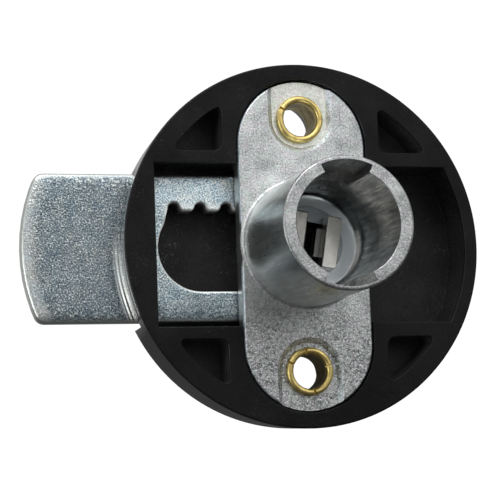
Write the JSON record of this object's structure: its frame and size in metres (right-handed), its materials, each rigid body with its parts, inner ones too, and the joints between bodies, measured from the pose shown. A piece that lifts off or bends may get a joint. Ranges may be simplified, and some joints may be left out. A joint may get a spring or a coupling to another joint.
{
  "type": "round deadbolt lock",
  "caption": "Round rim lock for a door or drawer front: a black case, a cast plate with a tube for the cylinder core, and a flat deadbolt that a toothed driver slides in and out.",
  "frame": {"origin": "on the tube's axis, at the closed front face of the case", "axes": "+Z along the tube, out of its open end; the thrown deadbolt points to -X; the screw holes lie on Y"},
  "size_m": [0.0657, 0.052, 0.032],
  "materials": {
    "case_plastic": "black moulded plastic, fine matt grain on the door side, smoother side wall",
    "cast_zinc": "die-cast zinc alloy, grainy plate, smooth tube",
    "brass": "bright rolled brass",
    "zinc_plated_steel": "zinc-plated, mottled blue-grey, bright rounded edges",
    "driver_metal": "dull die-cast zinc alloy"
  },
  "bodies": {
    "lock_body": {"case": "case_plastic", "cylinder_plate": "cast_zinc", "upper_rivet": "brass", "lower_rivet": "brass"},
    "bolt": {"deadbolt": "zinc_plated_steel"},
    "driver": {"drive_pinion": "driver_metal"}
  },
  "joints": [
    {"name": "bolt_slide", "type": "slide", "parent": "lock_body", "child": "bolt", "axis": [1, 0, 0], "range_m": [0, 0.0142]},
    {"name": "driver_turn", "type": "hinge", "parent": "lock_body", "child": "driver", "pos_m": [0, 0, 0.0067], "axis": [0, 0, 1], "range_deg": [-165, 15]}
  ],
  "couplings": [
    {"joint": "driver_turn", "follows": "bolt_slide", "rad_per_m": -181.82}
  ]
}
